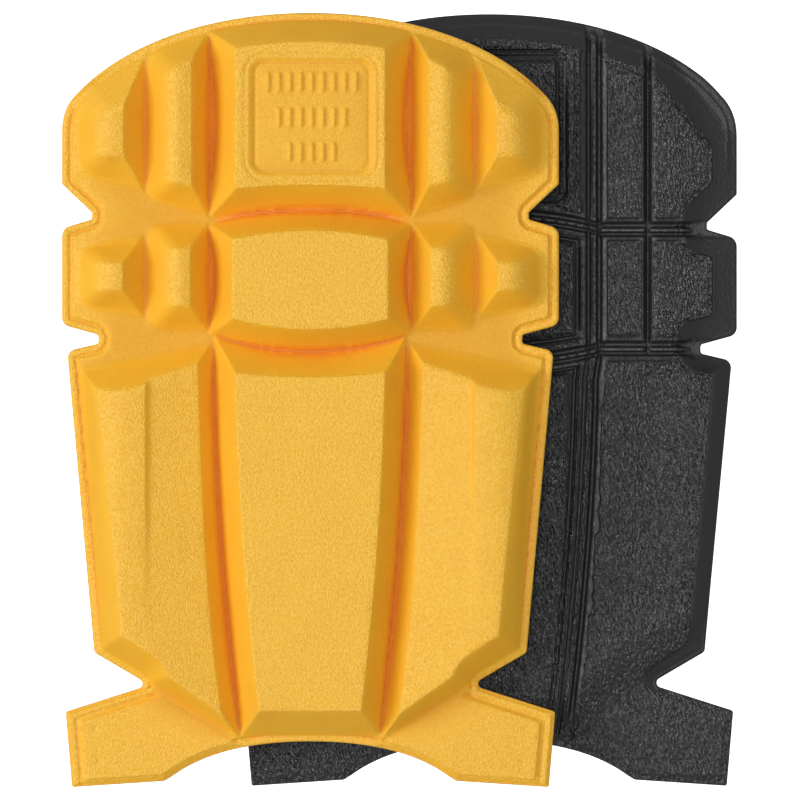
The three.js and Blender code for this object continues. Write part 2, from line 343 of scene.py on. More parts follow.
def rib_rows(signed_x, y):
    """Rows of short plain ribs inside the moulded frame: 1 on a rib, and 0 off it."""
    ribs = np.zeros_like(y)
    for row_y, count in RIB_ROWS:
        for i in range(count):
            at = (FRAME[0][0] + (i - (count - 1) / 2) * RIB_PITCH, row_y)
            gap = box_distance(signed_x, y, at, (RIB_WIDTH / 2, RIB_LENGTH / 2), RIB_WIDTH / 2)
            ribs = np.maximum(ribs, 1 - step(-0.45, 0.15, gap))
    return ribs


def lower_groove_x(y):
    """How far from the middle line the lower row's grooves run."""
    share = y / 100
    return 29.5 + 2.7 * share - 4.9 * share**2


def fold_distance(x, y):
    """Distance from the tab's fold line, positive on the pad's side."""
    along = unit(TAB_NOTCH - TAB_HEEL)
    return (y - TAB_HEEL[1]) * along[0] - (x - TAB_HEEL[0]) * along[1]


def rim_edge(rim):
    """The rounded edge of the rim, level beyond its rounding."""
    inside = np.clip(rim, 0, RIM_ROUNDING)
    return FLANGE - RIM_ROUNDING + np.sqrt(RIM_ROUNDING**2 - (RIM_ROUNDING - inside) ** 2)


def rim_profile(rim, groove_at):
    """The knee-side rim: a rounded edge, a flat lip, a moulded line, then the floor."""
    lift = (FLOOR - FLANGE) * step(groove_at, groove_at + 0.9, rim)
    return rim_edge(rim) + lift - dent(rim - groove_at, 0.4, 0.7)


def upper_cushion_blocks(x, y, rim):
    """Heights of the upper row's blocks: centre, inner and outer."""
    bottom = 66.4 - 1.2 * (x / 23.5) ** 2
    side_run = 5.9 + 2.1 * np.clip((y - 87.0) / 22.0, -1, 1) ** 2
    centre = block(
        np.full_like(x, BLOCK),
        [wall(x - 23.3, BLOCK, side_run), wall(bottom - y, BLOCK, 7.7), wall(9.2 - rim, BLOCK, 6.7)],
    )
    inner = block(
        13.9 - 0.25 * (44.4 - x),
        [
            wall(67.0 - y, 13.0, 8.6 - 0.3 * (x - 36.6)),
            wall(9.9 - rim, 13.0, 7.2),
        ],
        SOFT_EDGE,
    )
    inner = smooth_min(inner, wall(x - 43.6, 13.9, 7.1), OUTWARD_EDGE)
    inner = smooth_min(inner, wall(36.4 - x, 12.0, 4.6), EDGE)
    top = (x - 57.5) * 0.43 + (y - 91.0) * 0.9
    outer = block(
        12.6 - 0.1 * (65.8 - x),
        [
            wall(75.6 - y, 12.0, 9.5 - 0.3 * (x - 57.8)),
            wall(top, 12.2, 11.0),
        ],
        SOFT_EDGE,
    )
    outer = smooth_min(outer, wall(x - 65.0, 12.6, 7.2), OUTWARD_EDGE)
    outer = smooth_min(outer, wall(57.6 - x, 11.8, 6.2), EDGE)
    return centre, inner, outer


def middle_cushion_blocks(x, y, _rim):
    """Heights of the middle row's blocks: centre, inner and outer."""
    bottom = 21.7 + 3.4 * (x / 24.5) ** 2
    top = 52.5 - 2.9 * (x / 24.5) ** 2
    side_run = 5.0 + 2.0 * np.clip((y - 37.5) / 14.0, -1, 1) ** 2
    centre = block(
        np.full_like(x, BLOCK),
        [wall(x - 24.3, BLOCK, side_run), wall(bottom - y, BLOCK, 6.8), wall(y - top, BLOCK, 6.4)],
    )
    inner = block(
        13.6 - 0.22 * (43.8 - x),
        [wall(29.2 - y, 13.0, 7.4), wall(y - 46.7, 13.0, 7.6)],
        SOFT_EDGE,
    )
    inner = smooth_min(inner, wall(x - 43.3, 13.6, 7.3), OUTWARD_EDGE)
    inner = smooth_min(inner, wall(36.8 - x, 12.0, 4.8), EDGE)
    outer = block(
        12.4 - 0.08 * (65.5 - x),
        [
            wall(33.8 - y, 12.0, 6.9 - 0.18 * (x - 58.0)),
            wall(y - 42.4, 12.0, 7.3 - 0.22 * (x - 58.0)),
        ],
        SOFT_EDGE,
    )
    outer = smooth_min(outer, wall(x - 64.8, 12.4, 7.2), OUTWARD_EDGE)
    outer = smooth_min(outer, wall(57.7 - x, 11.6, 5.8), EDGE)
    return centre, inner, outer


def lower_cushion_blocks(x, y, rim):
    """Heights of the lower row's long centre block and of its side panel."""
    groove = lower_groove_x(y)
    top = 7.1 + 1.4 * (x / 23.4) ** 2
    centre = block(
        np.full_like(x, BLOCK),
        [
            wall(x - groove + 6.4, BLOCK, 6.3),
            wall(y - top, BLOCK, 7.9 + 1.8 * (x / 24) ** 2),
            wall(-96.2 - y, BLOCK, 7.6),
        ],
    )
    # The side panel: a dome along its outer half, which stands proud of the flatter inner half.
    ledge = 1.7 * step(-88, 0, y)
    dome = 13.7 - 0.034 * np.clip(x - 57.5, 0, None) ** 2 - 0.012 * np.clip(57.5 - x, 0, None) ** 2
    inner_half = 13.2 - ledge - 0.18 * (50.0 - x)
    panel = np.where(x > 44, inner_half + (dome - inner_half) * step(49.2, 51.3, x), inner_half)
    outer_edge = 67.4 + 0.0715 * (y - 4.7)
    top_wall = (x - 50.2) * 0.19 + (y - 5.8) * 0.982
    panel = block(
        panel,
        [
            wall(top_wall, 12.3, 7.5),
            wall(5.6 - fold_distance(x, y), 12.0, 4.6),
            wall(8.2 - rim, 13.0, 6.2) - dent(rim - 8.2, 2.5, 0.3),
        ],
        SOFT_EDGE,
    )
    panel = smooth_min(panel, wall(groove + 6.6 - x, 11.6, 5.6), EDGE)
    panel = smooth_min(panel, wall(x - outer_edge, 9.9, 3.3), 0.8)
    return centre, panel


def framed_ribs(x, signed_x, y):
    """A moulded frame on the upper centre block, around rows of short ribs."""
    frame = box_distance(signed_x, y, *FRAME)
    line = dent(frame, 0.45, 0.5) + dent(frame + 2.9, 0.55, 0.5)
    hollow = 1.0 * (1 - step(-3.4, -0.2, frame)) - 0.3 * (1 - step(-9.0, -3.0, frame))
    ribs = 0.75 * rib_rows(signed_x, y)
    return np.where(x < 24, ribs - line - hollow, 0)


def tab_panel(x, y, rim):
    """The raised panel of a tab, inside a broad lip on two sides and a narrow one on the others."""
    along = unit((26.0, -8.3))
    upper = (x - 49.9) * along[1] - (y + 88.3) * along[0]
    outer = (75.9 - x) * 0.996 + (y + 96.6) * 0.085
    lip = smooth_min(smooth_min(upper, outer, 2.0) - 3.6, rim - 1.3, 0.5)
    crease = dent(np.minimum(upper, outer) - 3.1, 0.45, 0.5)
    for spot in ((66.7, -102.0), (65.7, -111.9)):
        crease = crease + dent(np.hypot(x - spot[0], y - spot[1]), 0.75, 0.45)
    return FLANGE - crease + 0.9 * step(0, 1.1, lip)


def cushion_height(signed_x, y, rim):
    """Height of the knee side, away from the bond."""
    x = np.abs(signed_x)
    height = rim_profile(rim, 2.5)
    sunk = trench(y, 70, 104, 6) + trench(y, 26, 49, 5) + trench(y, -98, 8, 6)
    groove_x = np.where(y > 14, 30.7, lower_groove_x(y) + 0.4)
    height = height - 0.9 * dent(x - groove_x, 1.3, 1.0) * sunk
    bow = 1 - np.clip(x / 31.0, 0, 1) ** 2
    for crease_y in (58.0 + 0.8 * bow, 18.2 - 3.3 * bow):
        height = height - dent(y - crease_y, 0.6, 1.1) * (1 - step(22, 33, x))
    rows = [
        (upper_cushion_blocks, y > 50),
        (middle_cushion_blocks, (y > 8) & (y < 66)),
        (lower_cushion_blocks, y < 26),
    ]
    for blocks, near in rows:
        centre, *others = blocks(x, y, rim)
        for shape in others:
            height = np.where(near, smooth_max(height, shape, SOFT_FILLET), height)
        height = np.where(near, smooth_max(height, centre, FILLET), height)
    height = height + framed_ribs(x, signed_x, y)
    on_tab = step(0.3, 1.3, -fold_distance(x, y)) * (y < TABS_TOP)
    edge = rim_profile(rim, 1.2) - FLOOR
    tab = tab_panel(x, y, rim) + np.minimum(edge, 0) * (rim < RIM_ROUNDING)
    height = height + (tab - height) * on_tab
    return np.where(rim < RIM_ROUNDING, np.minimum(height, rim_edge(rim)), height)


def vee(value, low, high):
    """A V-shaped groove: 0 at low and high, and 1 midway."""
    return np.clip(1 - np.abs(value - (low + high) / 2) / ((high - low) / 2), 0, 1)


def ridge_bow(x):
    """How far a crossways ridge bows away at this distance from the middle line."""
    return RIDGE_BOW * (1 - np.clip(x / BOW_HALF_WIDTH, 0, 1) ** 2)


def main_groove_x(y):
    """How far from the middle line the shell's main groove runs."""
    slanting = lower_groove_x(y) + 3.3
    return slanting + (LENGTHWAYS_X - slanting) * step(8, 18, y)


def skirt_extent(x, y, rim):
    """How far inside the skirt's foot a point lies, and how wide the skirt is there."""
    skirt_end = 7.9 - 2.4 * step(22, 8, y) - 1.7 * step(-70, -95, y)
    shoulder = (67.9 - x) * 0.753 + (82.4 - y) * 0.659 + skirt_end
    return smooth_min(rim, np.where(y > 60, shoulder, rim + 5), 1.0), skirt_end


def shell_top(x, y, rim):
    """The shell without its grooves: a sloping skirt, and tops that fall away outwards."""
    lip = rim_edge(rim)
    lower = step(22, 8, y)
    inset, skirt_end = skirt_extent(x, y, rim)
    top = PLATEAU - 2.6 * step(49, 72, x) * (1 - 0.75 * lower)
    dish = 1.9 * lower * dent(x - 51.5 - 0.03 * y, 9.0, 1.0) * step(-88, -40, y)
    slope = lip + (top - FLANGE) * (inset - 0.9) / (skirt_end - 0.9)
    skirt = smooth_max(lip, smooth_min(slope, top - dish, 0.35), 0.3)
    lines = dent(inset - skirt_end - 0.1, 0.35, 0.6) + dent(inset - skirt_end - 1.5, 0.35, 0.5)
    bead = dent(rim - 2.9, 0.35, 0.45) * step(70, 90, y)
    skirt = skirt + lines * (x > 35) * (1 - step(-70, -84, y)) + bead
    tab = lip + 0.7 * step(1.0, 3.0, rim)
    return tab + (skirt - tab) * step(-1, 16, fold_distance(x, y) + 40 * (y > -60))


def lengthways_grooves(x, y):
    """Depths of the paired main grooves and of the outer groove, with the thin ridges beside them."""
    off = x - main_groove_x(y)
    lower = step(20, 12, y)
    ending = step(-106.2, -104.6, y)
    main = 3.4 * vee(off, -1.35, 1.4) * ending
    second = (2.6 - 0.8 * lower) * vee(off, -4.5 + 0.1 * lower, -2.1 - 0.6 * lower)
    between = 0.5 * trench(off, -2.6, -0.9, 0.4)
    outer = 3.2 * vee(x, OUTER_GROOVE_X - 1.7, OUTER_GROOVE_X + 1.5) * step(16.4, 18.2, y)
    beads = dent(x - 51.9, 0.3, 0.4) + dent(x - 54.7, 0.35, 0.22)
    return np.maximum(np.maximum(main, second), np.maximum(between, outer)) - beads * (y > 21)


def crossways_groove(x, y, ridge_y):
    """Two V-shaped grooves with a sharp ridge between them, which merge near the notch."""
    off = y - ridge_y
    apart = np.maximum(3.0 * vee(off, 0.1, 3.1), 2.6 * vee(off, -2.4, -0.1))
    ridge_ends = step(60, 65, x)
    return np.maximum(apart + 0.7 * trench(off, -0.6, 0.7, 0.5), 2.6 * vee(off, -2.4, 3.1) * ridge_ends)


def centre_frames(x, y):
    """Depths of the frame lines that run inside the three centre cells."""
    upper_end, lower_end = UPPER_RIDGE_Y + ridge_bow(x), LOWER_RIDGE_Y - ridge_bow(x)
    frame = box_distance(x, y, (0, 86.5), (23.4, 22.2), 3.6)
    upper = np.maximum(1.0 * vee(frame, -1.2, 0.1), 1.3 * vee(frame, -2.9, -1.2))
    upper = np.maximum(upper, 0.7 * vee(x, 26.2, 27.2) * trench(y, 64, 106, 2)) + 0.3 * (frame < -2.9)
    middle = corner_distance(x - 30.0, np.maximum(y - upper_end + 2.4, lower_end + 3.0 - y), 2.4)
    middle = 1.7 * vee(middle, -3.7, -1.7) + 0.25 * (middle < -3.7)
    side = x - main_groove_x(y) + 4.3
    lower = corner_distance(side, np.maximum(y - lower_end + 1.4, -103.5 - y), 2.2)
    lower = (1.6 - 0.7 * step(0, -60, y)) * vee(lower, -3.3, -1.5) + 0.2 * (lower < -3.3)
    depth = np.where(y > upper_end, upper, np.where(y > lower_end, middle, lower))
    dimple = dent(np.hypot(x - 28.3, y - 62.3), 0.7, 0.5)
    return np.where(x < 31, depth, 0) + dimple


def tab_marks(x, y):
    """Depths of the fine lines and the pip on the outer side of a tab."""
    lines = dent(x - 69.2 - 0.06 * (y + 104), 0.35, 0.2) + dent(x - 67.9 - 0.06 * (y + 104), 0.3, 0.15)
    level = dent(y + 112.0, 0.4, 0.2) * trench(x, 40, 65, 2)
    pip = dent(np.hypot(x - 62.2, y + 109.0), 0.8, 0.5)
    return lines * trench(y, -113, -95, 1) + level + pip


def shell_height(signed_x, y, rim):
    """Height of the outer side, away from the bond."""
    x = np.abs(signed_x)
    top = shell_top(x, y, rim)
    depth = lengthways_grooves(x, y) * ((fold_distance(x, y) > -2) | (y > TABS_TOP))
    for ridge_y in (UPPER_RIDGE_Y + ridge_bow(x), LOWER_RIDGE_Y - ridge_bow(x)):
        depth = np.maximum(depth, crossways_groove(x, y, ridge_y))
    depth = np.maximum(depth, centre_frames(x, y) * step(6.5, 7.5, rim + 3 * (y < 0)))
    depth = np.where((y < -94) & (x > 38), tab_marks(x, y), depth)
    return top - np.minimum(depth, 0.8 * np.maximum(top - FLANGE + 0.3, 0))


# ---- Layers as closed pieces ----


def cushion_skin(signed_x, y, _rim):
    """Where the knee side's skin is grainy: everywhere but inside the frame."""
    return step(-1.5, 0.3, box_distance(signed_x, y, *FRAME))


def shell_skin(signed_x, y, rim):
    """Where the outer side's skin is pebbled: inside the skirt, and on the tabs."""
    x = np.abs(signed_x)
    inset, skirt_end = skirt_extent(x, y, rim)
    on_tab = step(0, 6, -fold_distance(x, y)) * (y < TABS_TOP)
    return np.maximum(step(-1.2, 0.4, inset - skirt_end), on_tab)


def section_of(x, y):
    """Names the piece of a layer that each point belongs to."""
    names = np.where(y > UPPER_CUT, "upper", np.where(y > LOWER_CUT, "middle", "lower"))
    on_tab = (fold_distance(np.abs(x), y) < 0) & (y < TABS_TOP)
    names = np.where(on_tab & (x > 0), "inner_tab", names)
    return np.where(on_tab & (x < 0), "outer_tab", names)


class Relief:
    """A layer's heights on a regular grid, with what can be read from them."""

    def __init__(self, height, outline):
        xs = np.arange(-HALF_WIDTH, HALF_WIDTH + GRID, GRID)
        ys = np.arange(-HALF_LENGTH, HALF_LENGTH + GRID, GRID)
        self.x, self.y = np.meshgrid(xs, ys)
        self.outline = outline
        self.rim = distance_field(xs, ys, outline, RIM_REACH)
        self.z = height(self.x, self.y, self.rim)
        bend = np.zeros_like(self.z)
        bend[:, 1:-1] += np.abs(self.z[:, 2:] + self.z[:, :-2] - 2 * self.z[:, 1:-1])
        bend[1:-1] += np.abs(self.z[2:] + self.z[:-2] - 2 * self.z[1:-1])
        self.bend = bend

    def at(self, values, points):
        """Grid values at scattered points."""
        column = np.clip((points[:, 0] + HALF_WIDTH) / GRID, 0, values.shape[1] - 1.001)
        row = np.clip((points[:, 1] + HALF_LENGTH) / GRID, 0, values.shape[0] - 1.001)
        i, j = row.astype(int), column.astype(int)
        u, v = column - j, row - i
        low = values[i, j] * (1 - u) + values[i, j + 1] * u
        high = values[i + 1, j] * (1 - u) + values[i + 1, j + 1] * u
        return low * (1 - v) + high * v

    def rim_at(self, points):
        """Distance to the outline: exact near it, and read from the grid elsewhere."""
        rim = self.at(self.rim, points)
        near = rim < 2.5
        rim[near] = distance_to(points[near], self.outline)
        return rim

    def flatness(self):
        """1 where the surface is level, 0 where it slopes."""
        along_y, along_x = np.gradient(self.z, GRID)
        return step(0.62, 0.96, 1 / np.sqrt(1 + along_x**2 + along_y**2))

    def below(self, reach, depth):
        """How far a point lies below the mean height up to reach around it: 1 at that depth."""
        around = self.z
        for _ in range(2):
            around = box_blur(box_blur(around, round(reach / GRID)).T, round(reach / GRID)).T
        return np.clip((around - self.z) / depth, 0, 1)


def box_blur(values, reach):
    """The mean of each column over rows up to reach away."""
    total = np.cumsum(np.pad(values, ((reach + 1, reach), (0, 0)), mode="edge"), axis=0)
    return (total[2 * reach + 1 :] - total[: -2 * reach - 1]) / (2 * reach + 1)


def rim_rows(outline, offsets):
    """Rows of points that run inside the outline at the given distances."""
    tangents = np.roll(outline, -1, axis=0) - np.roll(outline, 1, axis=0)
    tangents /= np.linalg.norm(tangents, axis=1)[:, None]
    inward = np.stack([-tangents[:, 1], tangents[:, 0]], axis=1)
    rows = np.concatenate([outline + inward * offset for offset in offsets])
    return rows[distance_to(rows, outline) > 0.97 * np.repeat(offsets, len(outline))]


def no_guides(_outline):
    return np.zeros((0, 2))


def halved(offsets):
    """The offsets with one more halfway between each two."""
    return np.interp(np.arange(0, len(offsets) - 0.5, 0.5), np.arange(len(offsets)), offsets)


def shell_guides(outline):
    """Points along the shell's sharp ridges, groove bottoms and edge lines."""
    lines = []
    for side in (1, -1):
        for ridge, sign, bends in ((UPPER_RIDGE_Y, 1, UPPER_BENDS), (LOWER_RIDGE_Y, -1, LOWER_BENDS)):
            for x, offsets in (
                (np.arange(0.25, 28.0, 0.5), bends),
                (np.arange(28.25, 66.0, 0.5), CROSSWAYS_BENDS),
            ):
                bowed = ridge + sign * ridge_bow(x)
                lines += [np.stack([side * x, bowed + offset], axis=1) for offset in halved(offsets)]
        y = np.arange(-104.0, 112.0, 0.5)
        for offset in halved(LENGTHWAYS_BENDS):
            along = np.stack([side * (main_groove_x(y) + offset), y], axis=1)
            lines.append(along[(y < 14) | (offset > -5)])
    edges = rim_rows(outline, SHELL_EDGE_ROWS)
    lines.append(edges[np.abs(edges[:, 0]) > 35])
    return np.concatenate(lines)


def surface_points(relief, outline, guides):
    """Mesh points: rows along the rim, guides, and a grid that is fine only where the surface bends."""
    i, j = np.indices(relief.z.shape)
    fine = relief.bend > BEND_FOR_FULL_GRID
    half = (relief.bend > BEND_FOR_HALF_GRID) & (i % 2 == 0) & (j % 2 == 0)
    coarse = (i % 4 == 0) & (j % 4 == 0)
    shifted = relief.x + np.where(i % 2, GRID / 2, 0)
    rows_end = RIM_ROWS[-1] + 0.3
    guides = guides[relief.at(relief.rim, guides) > rows_end]
    taken = np.zeros(relief.z.shape, bool)
    columns, rows = np.rint((guides + (HALF_WIDTH, HALF_LENGTH)) / GRID).astype(int).T
    taken[rows, columns] = True
    taken = box_blur(box_blur(taken, 1).T, 1).T > 1e-9
    keep = (fine | half | coarse) & (relief.rim > rows_end) & ~taken
    grid = np.stack([shifted[keep], relief.y[keep]], axis=1)
    return np.concatenate([rim_rows(outline, RIM_ROWS), guides, grid])


def cut_line(start, end, outline):
    """Points along a straight cut, which runs just past the outline and is finer near the rim."""
    points = spaced(np.array([start, end], float), CUT_STEP)
    rim = distance_to(points, outline)
    stride = np.where(rim < 3.5, 2, max(2, round(GRID / CUT_STEP)))
    return points[(np.arange(len(points)) % stride == 0) & (rim > 0.08)]


def cut_lines(outline):
    """Points along each of the cuts that divide a layer into its pieces."""
    reach = HALF_WIDTH + 1
    cuts = [cut_line((-reach, y), (reach, y), outline) for y in (UPPER_CUT, LOWER_CUT)]
    along = unit(TAB_NOTCH - TAB_HEEL)
    start, end = TAB_HEEL - along * 2, TAB_NOTCH + along * 2
    for side in (1, -1):
        cuts.append(cut_line(start * [side, 1], end * [side, 1], outline))
    return cuts


def triangulate(outline, points, cuts=()):
    """Triangles inside the outline that use all the points, with edges along the cuts."""
    coords = [Vector(p) for p in outline] + [Vector(p) for p in points]
    edges = []
    for cut in cuts:
        edges += [(len(coords) + i, len(coords) + i + 1) for i in range(len(cut) - 1)]
        coords += [Vector(p) for p in cut]
    face = list(range(len(outline)))
    verts, _, tris, origins, _, inside = delaunay_2d_cdt(coords, edges, [face], 0, 1e-4)
    tris = [t for t, source in zip(tris, inside) if source]
    return np.array([v[:] for v in verts]), np.array(tris), origins


def open_edges(tris):
    """The directed edges that belong to one triangle only."""
    edges = np.concatenate([tris[:, [0, 1]], tris[:, [1, 2]], tris[:, [2, 0]]])
    span = int(tris.max()) + 1
    here = edges[:, 0] * span + edges[:, 1]
    there = edges[:, 1] * span + edges[:, 0]
    return edges[~np.isin(here, there)]


def loop_of(edges):
    """The points of a closed chain of directed edges, in order."""
    following = dict(edges.tolist())
    loop = [int(edges[0, 0])]
    while following[loop[-1]] != loop[0]:
        loop.append(following[loop[-1]])
    return loop


def bond_grid(loop_xy):
    """Coarse points inside a loop, for the flat face on the bond."""
    low, high = loop_xy.min(axis=0), loop_xy.max(axis=0)
    x, y = np.meshgrid(np.arange(low[0], high[0], BOND_GRID), np.arange(low[1], high[1], BOND_GRID))
    grid = np.stack([x.ravel(), y.ravel()], axis=1) + 0.37
    return grid[distance_to(grid, loop_xy) > 1.0]


def closed_piece(xy, z, tris):
    """Closes a piece of surface with walls down to the bond and a face along it.

    Returns its points, its faces, its rim's edges, and the bond point below each rim point."""
    used, tris = np.unique(tris, return_inverse=True)
    tris = tris.reshape(-1, 3)
    xy, z = xy[used], z[used]
    rim_edges = open_edges(tris)
    loop = loop_of(rim_edges)
    count = len(xy)
    below = {vertex: count + i for i, vertex in enumerate(loop)}
    loop_xy = xy[loop]
    bond_xy, bond_tris, origins = triangulate(loop_xy, bond_grid(loop_xy))
    ids, extra = [], []
    for place, sources in zip(bond_xy, origins):
        on_loop = [s for s in sources if s < len(loop)]
        if on_loop:
            ids.append(count + on_loop[0])
        else:
            ids.append(count + len(loop) + len(extra))
            extra.append(place)
    flat = np.concatenate([loop_xy, np.array(extra).reshape(-1, 2)])
    points = np.concatenate(
        [np.column_stack([xy, z]), np.column_stack([flat, np.full(len(flat), BOND_GAP)])]
    )
    faces = [tuple(t) for t in tris.tolist()]
    faces += [(ids[c], ids[b], ids[a]) for a, b, c in bond_tris.tolist()]
    ring = list(zip(loop, loop[1:] + loop[:1]))
    faces += [(a, below[a], below[b], b) for a, b in ring]
    return points, faces, ring, below


def layer_pieces(height, skin, guides=no_guides):
    """The layer's pieces by section, in the pad's own frame, with z away from the bond."""
    outline = pad_outline()
    relief = Relief(height, outline)
    points = surface_points(relief, outline, guides(outline))
    xy, tris, _ = triangulate(outline, points, cut_lines(outline))
    rim = relief.rim_at(xy)
    rim[rim < 1e-3] = 0
    z = height(xy[:, 0], xy[:, 1], rim)
    middle = xy[tris].mean(axis=1)
    names = section_of(middle[:, 0], middle[:, 1])
    looks = {
        "flatness": relief.flatness(),
        "hollow": relief.below(*HOLLOW),
        "sunk": relief.below(*SUNK) * step(2.5, 4.5, relief.rim),
        "skin": skin(relief.x, relief.y, relief.rim),
        "crease": relief.below(*CREASE),
        "ridge": relief.below(*RIDGE),
    }
    pieces = {}
    for name in ("upper", "middle", "lower", "inner_tab", "outer_tab"):
        points, faces, ring, below = closed_piece(xy, z, tris[names == name])
        ring_middle = np.array([(points[a, :2] + points[b, :2]) / 2 for a, b in ring])
        on_cut = distance_to(ring_middle, outline) > 0.02
        sharp = [(below[a], below[b]) for a, b in ring]
        sharp += [edge for edge, cut in zip(ring, on_cut) if cut]
        values = {key: relief.at(grid, points[:, :2]) for key, grid in looks.items()}
        pieces[name] = (points, faces, sharp, values)
    return pieces


# ---- Pads in the row frame ----


def pad_matrix(pad):
    """Takes the pad's own frame, in millimetres, to the row frame."""
    cushion_low, cushion_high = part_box(f"{pad}_middle_cushion")
    shell_low, shell_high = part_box(f"{pad}_middle_shell")
    knee_down = cushion_low[2] < shell_low[2]
    bond = (cushion_high[2] + shell_low[2]) / 2 if knee_down else (cushion_low[2] + shell_high[2]) / 2
    place = Matrix.Translation(((cushion_low[0] + cushion_high[0]) / 2, 0, bond))
    return place @ Matrix.Rotation(math.pi if knee_down else 0, 4, "Y") @ Matrix.Scale(MM, 4)


def row_drop(pad):
    """How far below its drawn place the frame has this pad's lower flex line, in millimetres."""
    joint = next(j for j in frame["joints"] if j["name"] == f"{pad}_knee_flex")
    return DRAWN_KNEE_FLEX - joint["pos_m"][1] / MM


def dropped(y, drop):
    """Where a height up the pad goes when its middle row is lowered by drop."""
    rise = np.clip((y - PLAIN_SPAN[0]) / (ROW_SPAN[0] - PLAIN_SPAN[0]), 0, 1)
    fall = np.clip((PLAIN_SPAN[1] - y) / (PLAIN_SPAN[1] - ROW_SPAN[1]), 0, 1)
    return y - drop * np.minimum(rise, fall)


def bend_piece(piece, pad, section, place, drop):
    """Makes a middle piece ride on its body, and bakes the other pieces' places into their meshes."""

    def at(x, y):
        return place @ Vector((x, float(dropped(y, drop)), 0))

    body = f"{pad}_{section}"
    if section == "middle":
        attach(piece, body)
    elif section == "upper":
        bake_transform(piece)
    elif section == "lower":
        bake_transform(piece)
    else:
        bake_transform(piece)


def mark_sharp(mesh, sharp):
    """Marks the edges that join the given pairs of points as sharp."""
    ends = np.empty(len(mesh.edges) * 2, int)
    mesh.edges.foreach_get("vertices", ends)
    ends = np.sort(ends.reshape(-1, 2), axis=1)
    wanted = np.sort(np.array(sharp), axis=1)
    span = len(mesh.vertices)
    is_sharp = np.isin(ends @ [span, 1], wanted @ [span, 1])
    mesh.attributes.new("sharp_edge", "BOOLEAN", "EDGE").data.foreach_set("value", is_sharp)


def make_piece(name, geometry, outward, place, drop, material):
    """One piece of foam in its place, with the measures that its material reads."""
    points, faces, sharp, looks = geometry
    local = points.copy()
    local[:, 1] = dropped(local[:, 1], drop)
    local[:, 2] *= outward
    faces = faces if outward > 0 else [face[::-1] for face in faces]
    world = local @ np.array(place.to_3x3()).T + np.array(place.translation)
    mesh = bpy.data.meshes.new(name)
    mesh.from_pydata(world, [], faces)
    mesh.shade_smooth()
    mark_sharp(mesh, sharp)
    rest = mesh.attributes.new("rest", "FLOAT_VECTOR", "POINT")
    rest.data.foreach_set("vector", points.astype(np.float32).ravel())
    for key, values in looks.items():
        mesh.attributes.new(key, "FLOAT", "POINT").data.foreach_set("value", values.astype(np.float32))
    mesh.materials.append(material)
    piece = bpy.data.objects.new(name, mesh)
    bpy.context.collection.objects.link(piece)
    return piece


def make_pads(layers):
    """Both pads, from layers given as name: (pieces by section, which way is outward, material)."""
    for pad in ("left_pad", "right_pad"):
        place, drop = pad_matrix(pad), row_drop(pad)
        for layer, (pieces, outward, material) in layers.items():
            for section, geometry in pieces.items():
                name = f"{pad}_{section}_{layer}_foam"
                piece = make_piece(name, geometry, outward, place, drop, material)
                bend_piece(piece, pad, section, place, drop)
                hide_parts(f"{pad}_{section}_{layer}")


# ---- Materials ----


class Shader:
    """A material being built: each call adds a node and returns its output."""

    def __init__(self, name, color, roughness):
        self.material = bpy.data.materials.new(name)
        self.material.use_nodes = True
        self.nodes = self.material.node_tree.nodes
        self.links = self.material.node_tree.links
        self.surface = self.nodes["Principled BSDF"]
        self.surface.inputs["Base Color"].default_value = (*color, 1)
        self.surface.inputs["Roughness"].default_value = roughness

    def put(self, node, inputs):
        """Gives each input its value, or links it to the output that is given."""
        for key, value in inputs.items():
            if isinstance(value, bpy.types.NodeSocket):
                self.links.new(value, node.inputs[key])
            else:
                node.inputs[key].default_value = value

    def attribute(self, name, output="Fac"):
        node = self.nodes.new("ShaderNodeAttribute")
        node.attribute_name = name
        return node.outputs[output]

    def noise(self, where, scale, detail=2.0, roughness=0.5):
        node = self.nodes.new("ShaderNodeTexNoise")
        self.put(node, {"Vector": where, "Scale": scale, "Detail": detail, "Roughness": roughness})
        return node.outputs["Fac"]

    def pebbles(self, where, scale, smoothness):
        node = self.nodes.new("ShaderNodeTexVoronoi")
        node.feature = "SMOOTH_F1"
        self.put(node, {"Vector": where, "Scale": scale, "Smoothness": smoothness})
        return node.outputs["Distance"]

    def turned(self, where, angle, scale):
        """The coordinates turned about Z and stretched."""
        node = self.nodes.new("ShaderNodeMapping")
        node.vector_type = "TEXTURE"
        stretch = tuple(1 / part for part in scale)
        self.put(node, {"Vector": where, "Rotation": (0, 0, angle), "Scale": stretch})
        return node.outputs[0]

    def math(self, operation, a, b, c=0.0):
        node = self.nodes.new("ShaderNodeMath")
        node.operation = operation
        self.put(node, {0: a, 1: b, 2: c})
        return node.outputs[0]

    def spread(self, value, low, high, to_low=0.0, to_high=1.0):
        """Maps low..high to to_low..to_high, held at both ends."""
        node = self.nodes.new("ShaderNodeMapRange")
        self.put(
            node,
            {"Value": value, "From Min": low, "From Max": high, "To Min": to_low, "To Max": to_high},
        )
        return node.outputs[0]

    def mix(self, share, a, b):
        """A colour between a and b. Sockets 0, 6 and 7 are the share and the two colours."""
        node = self.nodes.new("ShaderNodeMix")
        node.data_type = "RGBA"
        a, b = ((*c, 1) if isinstance(c, tuple) else c for c in (a, b))
        self.put(node, {0: share, 6: a, 7: b})
        return node.outputs[2]

    def bump(self, height, depth_mm):
        node = self.nodes.new("ShaderNodeBump")
        self.put(node, {"Height": height, "Distance": depth_mm * MM, "Strength": 1.0})
        self.put(self.surface, {"Normal": node.outputs[0]})

    def finish(self, **inputs):
        self.put(self.surface, {key.replace("_", " "): value for key, value in inputs.items()})
        return self.material


